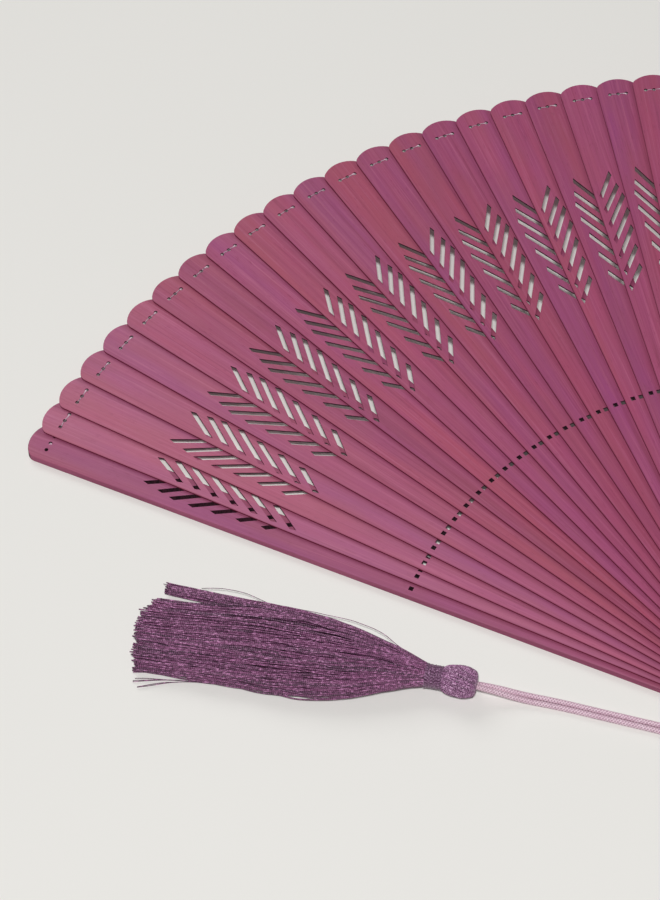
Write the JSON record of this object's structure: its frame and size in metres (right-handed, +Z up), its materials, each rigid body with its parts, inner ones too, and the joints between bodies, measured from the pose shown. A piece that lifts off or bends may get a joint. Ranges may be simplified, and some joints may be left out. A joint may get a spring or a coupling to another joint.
{
  "type": "folding hand fan",
  "caption": "Open folding fan of pierced, dyed bamboo sticks on one rivet, with a wire shackle and a silky tassel on a doubled cord.",
  "frame": {"origin": "on the rivet axis, in the plane the fan lies on, which is the underside of the left guard and of the lower rivet head", "axes": "+Z up along the rivet, +X across the open fan from the left guard to the right guard, +Y out along the middle sticks"},
  "size_m": [0.359, 0.2119, 0.0283],
  "materials": {
    "leaf_bamboo": "satin dyed bamboo with fine lengthwise grain",
    "guard_bamboo": "satin dyed bamboo with fine lengthwise grain",
    "rivet_metal": "polished brass",
    "shackle_metal": "drawn brass wire",
    "cord": "pale pink braided rayon cord",
    "tassel_thread": "plum rayon thread with a silky sheen",
    "limit_thread": "fine pale pink thread"
  },
  "bodies": {
    "frame": {"guard_left": "guard_bamboo", "rivet_pin": "rivet_metal", "rivet_cap": "rivet_metal", "thread_knot_left": "limit_thread"},
    "leaf_01_body": {"leaf_01": "leaf_bamboo"},
    "leaf_02_body": {"leaf_02": "leaf_bamboo"},
    "leaf_03_body": {"leaf_03": "leaf_bamboo"},
    "leaf_04_body": {"leaf_04": "leaf_bamboo"},
    "leaf_05_body": {"leaf_05": "leaf_bamboo"},
    "leaf_06_body": {"leaf_06": "leaf_bamboo"},
    "leaf_07_body": {"leaf_07": "leaf_bamboo"},
    "leaf_08_body": {"leaf_08": "leaf_bamboo"},
    "leaf_09_body": {"leaf_09": "leaf_bamboo"},
    "leaf_10_body": {"leaf_10": "leaf_bamboo"},
    "leaf_11_body": {"leaf_11": "leaf_bamboo"},
    "leaf_12_body": {"leaf_12": "leaf_bamboo"},
    "leaf_13_body": {"leaf_13": "leaf_bamboo"},
    "leaf_14_body": {"leaf_14": "leaf_bamboo"},
    "leaf_15_body": {"leaf_15": "leaf_bamboo"},
    "leaf_16_body": {"leaf_16": "leaf_bamboo"},
    "leaf_17_body": {"leaf_17": "leaf_bamboo"},
    "leaf_18_body": {"leaf_18": "leaf_bamboo"},
    "leaf_19_body": {"leaf_19": "leaf_bamboo"},
    "leaf_20_body": {"leaf_20": "leaf_bamboo"},
    "leaf_21_body": {"leaf_21": "leaf_bamboo"},
    "leaf_22_body": {"leaf_22": "leaf_bamboo"},
    "leaf_23_body": {"leaf_23": "leaf_bamboo"},
    "leaf_24_body": {"leaf_24": "leaf_bamboo"},
    "leaf_25_body": {"leaf_25": "leaf_bamboo"},
    "leaf_26_body": {"leaf_26": "leaf_bamboo"},
    "leaf_27_body": {"leaf_27": "leaf_bamboo"},
    "leaf_28_body": {"leaf_28": "leaf_bamboo"},
    "leaf_29_body": {"leaf_29": "leaf_bamboo"},
    "leaf_30_body": {"leaf_30": "leaf_bamboo"},
    "leaf_31_body": {"leaf_31": "leaf_bamboo"},
    "leaf_32_body": {"leaf_32": "leaf_bamboo"},
    "leaf_33_body": {"leaf_33": "leaf_bamboo"},
    "leaf_34_body": {"leaf_34": "leaf_bamboo"},
    "leaf_35_body": {"leaf_35": "leaf_bamboo"},
    "leaf_36_body": {"leaf_36": "leaf_bamboo"},
    "leaf_37_body": {"leaf_37": "leaf_bamboo"},
    "leaf_38_body": {"leaf_38": "leaf_bamboo"},
    "leaf_39_body": {"leaf_39": "leaf_bamboo"},
    "leaf_40_body": {"leaf_40": "leaf_bamboo"},
    "leaf_41_body": {"leaf_41": "leaf_bamboo"},
    "leaf_42_body": {"leaf_42": "leaf_bamboo"},
    "leaf_43_body": {"leaf_43": "leaf_bamboo"},
    "leaf_44_body": {"leaf_44": "leaf_bamboo"},
    "right_guard": {"guard_right": "guard_bamboo", "thread_knot_right": "limit_thread"},
    "shackle": {"bail": "shackle_metal"},
    "tassel": {"tassel_cord": "cord", "tassel_head": "tassel_thread", "tassel_binding": "tassel_thread", "tassel_skirt": "tassel_thread"}
  },
  "joints": [
    {"name": "fan_fold", "type": "hinge", "parent": "frame", "child": "right_guard", "pos_m": [0, 0, 0], "axis": [0, 0, 1], "range_deg": [0, 129.16]},
    {"name": "leaf_01_fold", "type": "hinge", "parent": "frame", "child": "leaf_01_body", "pos_m": [0, 0, 0], "axis": [0, 0, 1], "range_deg": [0, 2.23]},
    {"name": "leaf_02_fold", "type": "hinge", "parent": "frame", "child": "leaf_02_body", "pos_m": [0, 0, 0], "axis": [0, 0, 1], "range_deg": [0, 4.73]},
    {"name": "leaf_03_fold", "type": "hinge", "parent": "frame", "child": "leaf_03_body", "pos_m": [0, 0, 0], "axis": [0, 0, 1], "range_deg": [0, 7.65]},
    {"name": "leaf_04_fold", "type": "hinge", "parent": "frame", "child": "leaf_04_body", "pos_m": [0, 0, 0], "axis": [0, 0, 1], "range_deg": [0, 10.57]},
    {"name": "leaf_05_fold", "type": "hinge", "parent": "frame", "child": "leaf_05_body", "pos_m": [0, 0, 0], "axis": [0, 0, 1], "range_deg": [0, 13.49]},
    {"name": "leaf_06_fold", "type": "hinge", "parent": "frame", "child": "leaf_06_body", "pos_m": [0, 0, 0], "axis": [0, 0, 1], "range_deg": [0, 16.41]},
    {"name": "leaf_07_fold", "type": "hinge", "parent": "frame", "child": "leaf_07_body", "pos_m": [0, 0, 0], "axis": [0, 0, 1], "range_deg": [0, 19.33]},
    {"name": "leaf_08_fold", "type": "hinge", "parent": "frame", "child": "leaf_08_body", "pos_m": [0, 0, 0], "axis": [0, 0, 1], "range_deg": [0, 22.25]},
    {"name": "leaf_09_fold", "type": "hinge", "parent": "frame", "child": "leaf_09_body", "pos_m": [0, 0, 0], "axis": [0, 0, 1], "range_deg": [0, 25.17]},
    {"name": "leaf_10_fold", "type": "hinge", "parent": "frame", "child": "leaf_10_body", "pos_m": [0, 0, 0], "axis": [0, 0, 1], "range_deg": [0, 28.09]},
    {"name": "leaf_11_fold", "type": "hinge", "parent": "frame", "child": "leaf_11_body", "pos_m": [0, 0, 0], "axis": [0, 0, 1], "range_deg": [0, 31.01]},
    {"name": "leaf_12_fold", "type": "hinge", "parent": "frame", "child": "leaf_12_body", "pos_m": [0, 0, 0], "axis": [0, 0, 1], "range_deg": [0, 33.93]},
    {"name": "leaf_13_fold", "type": "hinge", "parent": "frame", "child": "leaf_13_body", "pos_m": [0, 0, 0], "axis": [0, 0, 1], "range_deg": [0, 36.85]},
    {"name": "leaf_14_fold", "type": "hinge", "parent": "frame", "child": "leaf_14_body", "pos_m": [0, 0, 0], "axis": [0, 0, 1], "range_deg": [0, 39.77]},
    {"name": "leaf_15_fold", "type": "hinge", "parent": "frame", "child": "leaf_15_body", "pos_m": [0, 0, 0], "axis": [0, 0, 1], "range_deg": [0, 42.69]},
    {"name": "leaf_16_fold", "type": "hinge", "parent": "frame", "child": "leaf_16_body", "pos_m": [0, 0, 0], "axis": [0, 0, 1], "range_deg": [0, 45.61]},
    {"name": "leaf_17_fold", "type": "hinge", "parent": "frame", "child": "leaf_17_body", "pos_m": [0, 0, 0], "axis": [0, 0, 1], "range_deg": [0, 48.53]},
    {"name": "leaf_18_fold", "type": "hinge", "parent": "frame", "child": "leaf_18_body", "pos_m": [0, 0, 0], "axis": [0, 0, 1], "range_deg": [0, 51.45]},
    {"name": "leaf_19_fold", "type": "hinge", "parent": "frame", "child": "leaf_19_body", "pos_m": [0, 0, 0], "axis": [0, 0, 1], "range_deg": [0, 54.37]},
    {"name": "leaf_20_fold", "type": "hinge", "parent": "frame", "child": "leaf_20_body", "pos_m": [0, 0, 0], "axis": [0, 0, 1], "range_deg": [0, 57.29]},
    {"name": "leaf_21_fold", "type": "hinge", "parent": "frame", "child": "leaf_21_body", "pos_m": [0, 0, 0], "axis": [0, 0, 1], "range_deg": [0, 60.21]},
    {"name": "leaf_22_fold", "type": "hinge", "parent": "frame", "child": "leaf_22_body", "pos_m": [0, 0, 0], "axis": [0, 0, 1], "range_deg": [0, 63.13]},
    {"name": "leaf_23_fold", "type": "hinge", "parent": "frame", "child": "leaf_23_body", "pos_m": [0, 0, 0], "axis": [0, 0, 1], "range_deg": [0, 66.05]},
    {"name": "leaf_24_fold", "type": "hinge", "parent": "frame", "child": "leaf_24_body", "pos_m": [0, 0, 0], "axis": [0, 0, 1], "range_deg": [0, 68.97]},
    {"name": "leaf_25_fold", "type": "hinge", "parent": "frame", "child": "leaf_25_body", "pos_m": [0, 0, 0], "axis": [0, 0, 1], "range_deg": [0, 71.89]},
    {"name": "leaf_26_fold", "type": "hinge", "parent": "frame", "child": "leaf_26_body", "pos_m": [0, 0, 0], "axis": [0, 0, 1], "range_deg": [0, 74.81]},
    {"name": "leaf_27_fold", "type": "hinge", "parent": "frame", "child": "leaf_27_body", "pos_m": [0, 0, 0], "axis": [0, 0, 1], "range_deg": [0, 77.73]},
    {"name": "leaf_28_fold", "type": "hinge", "parent": "frame", "child": "leaf_28_body", "pos_m": [0, 0, 0], "axis": [0, 0, 1], "range_deg": [0, 80.65]},
    {"name": "leaf_29_fold", "type": "hinge", "parent": "frame", "child": "leaf_29_body", "pos_m": [0, 0, 0], "axis": [0, 0, 1], "range_deg": [0, 83.57]},
    {"name": "leaf_30_fold", "type": "hinge", "parent": "frame", "child": "leaf_30_body", "pos_m": [0, 0, 0], "axis": [0, 0, 1], "range_deg": [0, 86.49]},
    {"name": "leaf_31_fold", "type": "hinge", "parent": "frame", "child": "leaf_31_body", "pos_m": [0, 0, 0], "axis": [0, 0, 1], "range_deg": [0, 89.41]},
    {"name": "leaf_32_fold", "type": "hinge", "parent": "frame", "child": "leaf_32_body", "pos_m": [0, 0, 0], "axis": [0, 0, 1], "range_deg": [0, 92.33]},
    {"name": "leaf_33_fold", "type": "hinge", "parent": "frame", "child": "leaf_33_body", "pos_m": [0, 0, 0], "axis": [0, 0, 1], "range_deg": [0, 95.25]},
    {"name": "leaf_34_fold", "type": "hinge", "parent": "frame", "child": "leaf_34_body", "pos_m": [0, 0, 0], "axis": [0, 0, 1], "range_deg": [0, 98.17]},
    {"name": "leaf_35_fold", "type": "hinge", "parent": "frame", "child": "leaf_35_body", "pos_m": [0, 0, 0], "axis": [0, 0, 1], "range_deg": [0, 101.09]},
    {"name": "leaf_36_fold", "type": "hinge", "parent": "frame", "child": "leaf_36_body", "pos_m": [0, 0, 0], "axis": [0, 0, 1], "range_deg": [0, 104.01]},
    {"name": "leaf_37_fold", "type": "hinge", "parent": "frame", "child": "leaf_37_body", "pos_m": [0, 0, 0], "axis": [0, 0, 1], "range_deg": [0, 106.93]},
    {"name": "leaf_38_fold", "type": "hinge", "parent": "frame", "child": "leaf_38_body", "pos_m": [0, 0, 0], "axis": [0, 0, 1], "range_deg": [0, 109.85]},
    {"name": "leaf_39_fold", "type": "hinge", "parent": "frame", "child": "leaf_39_body", "pos_m": [0, 0, 0], "axis": [0, 0, 1], "range_deg": [0, 112.77]},
    {"name": "leaf_40_fold", "type": "hinge", "parent": "frame", "child": "leaf_40_body", "pos_m": [0, 0, 0], "axis": [0, 0, 1], "range_deg": [0, 115.69]},
    {"name": "leaf_41_fold", "type": "hinge", "parent": "frame", "child": "leaf_41_body", "pos_m": [0, 0, 0], "axis": [0, 0, 1], "range_deg": [0, 118.61]},
    {"name": "leaf_42_fold", "type": "hinge", "parent": "frame", "child": "leaf_42_body", "pos_m": [0, 0, 0], "axis": [0, 0, 1], "range_deg": [0, 121.53]},
    {"name": "leaf_43_fold", "type": "hinge", "parent": "frame", "child": "leaf_43_body", "pos_m": [0, 0, 0], "axis": [0, 0, 1], "range_deg": [0, 124.45]},
    {"name": "leaf_44_fold", "type": "hinge", "parent": "frame", "child": "leaf_44_body", "pos_m": [0, 0, 0], "axis": [0, 0, 1], "range_deg": [0, 126.95]},
    {"name": "shackle_swing", "type": "hinge", "parent": "frame", "child": "shackle", "pos_m": [0, 0, 0], "axis": [0, 0, 1], "range_deg": [0, 70]},
    {"name": "tassel_swing", "type": "hinge", "parent": "shackle", "child": "tassel", "pos_m": [0, -0.0118, 0.0035], "axis": [0, 0, 1], "range_deg": [0, 75]}
  ],
  "couplings": [
    {"joint": "leaf_01_fold", "follows": "fan_fold", "ratio": 0.017188},
    {"joint": "leaf_02_fold", "follows": "fan_fold", "ratio": 0.036544},
    {"joint": "leaf_03_fold", "follows": "fan_fold", "ratio": 0.059151},
    {"joint": "leaf_04_fold", "follows": "fan_fold", "ratio": 0.081759},
    {"joint": "leaf_05_fold", "follows": "fan_fold", "ratio": 0.10437},
    {"joint": "leaf_06_fold", "follows": "fan_fold", "ratio": 0.12697},
    {"joint": "leaf_07_fold", "follows": "fan_fold", "ratio": 0.14958},
    {"joint": "leaf_08_fold", "follows": "fan_fold", "ratio": 0.17219},
    {"joint": "leaf_09_fold", "follows": "fan_fold", "ratio": 0.1948},
    {"joint": "leaf_10_fold", "follows": "fan_fold", "ratio": 0.2174},
    {"joint": "leaf_11_fold", "follows": "fan_fold", "ratio": 0.24001},
    {"joint": "leaf_12_fold", "follows": "fan_fold", "ratio": 0.26262},
    {"joint": "leaf_13_fold", "follows": "fan_fold", "ratio": 0.28523},
    {"joint": "leaf_14_fold", "follows": "fan_fold", "ratio": 0.30784},
    {"joint": "leaf_15_fold", "follows": "fan_fold", "ratio": 0.33044},
    {"joint": "leaf_16_fold", "follows": "fan_fold", "ratio": 0.35305},
    {"joint": "leaf_17_fold", "follows": "fan_fold", "ratio": 0.37566},
    {"joint": "leaf_18_fold", "follows": "fan_fold", "ratio": 0.39827},
    {"joint": "leaf_19_fold", "follows": "fan_fold", "ratio": 0.42087},
    {"joint": "leaf_20_fold", "follows": "fan_fold", "ratio": 0.44348},
    {"joint": "leaf_21_fold", "follows": "fan_fold", "ratio": 0.46609},
    {"joint": "leaf_22_fold", "follows": "fan_fold", "ratio": 0.4887},
    {"joint": "leaf_23_fold", "follows": "fan_fold", "ratio": 0.5113},
    {"joint": "leaf_24_fold", "follows": "fan_fold", "ratio": 0.53391},
    {"joint": "leaf_25_fold", "follows": "fan_fold", "ratio": 0.55652},
    {"joint": "leaf_26_fold", "follows": "fan_fold", "ratio": 0.57913},
    {"joint": "leaf_27_fold", "follows": "fan_fold", "ratio": 0.60173},
    {"joint": "leaf_28_fold", "follows": "fan_fold", "ratio": 0.62434},
    {"joint": "leaf_29_fold", "follows": "fan_fold", "ratio": 0.64695},
    {"joint": "leaf_30_fold", "follows": "fan_fold", "ratio": 0.66956},
    {"joint": "leaf_31_fold", "follows": "fan_fold", "ratio": 0.69216},
    {"joint": "leaf_32_fold", "follows": "fan_fold", "ratio": 0.71477},
    {"joint": "leaf_33_fold", "follows": "fan_fold", "ratio": 0.73738},
    {"joint": "leaf_34_fold", "follows": "fan_fold", "ratio": 0.75999},
    {"joint": "leaf_35_fold", "follows": "fan_fold", "ratio": 0.7826},
    {"joint": "leaf_36_fold", "follows": "fan_fold", "ratio": 0.8052},
    {"joint": "leaf_37_fold", "follows": "fan_fold", "ratio": 0.82781},
    {"joint": "leaf_38_fold", "follows": "fan_fold", "ratio": 0.85042},
    {"joint": "leaf_39_fold", "follows": "fan_fold", "ratio": 0.87303},
    {"joint": "leaf_40_fold", "follows": "fan_fold", "ratio": 0.89563},
    {"joint": "leaf_41_fold", "follows": "fan_fold", "ratio": 0.91824},
    {"joint": "leaf_42_fold", "follows": "fan_fold", "ratio": 0.94085},
    {"joint": "leaf_43_fold", "follows": "fan_fold", "ratio": 0.96346},
    {"joint": "leaf_44_fold", "follows": "fan_fold", "ratio": 0.98281}
  ]
}
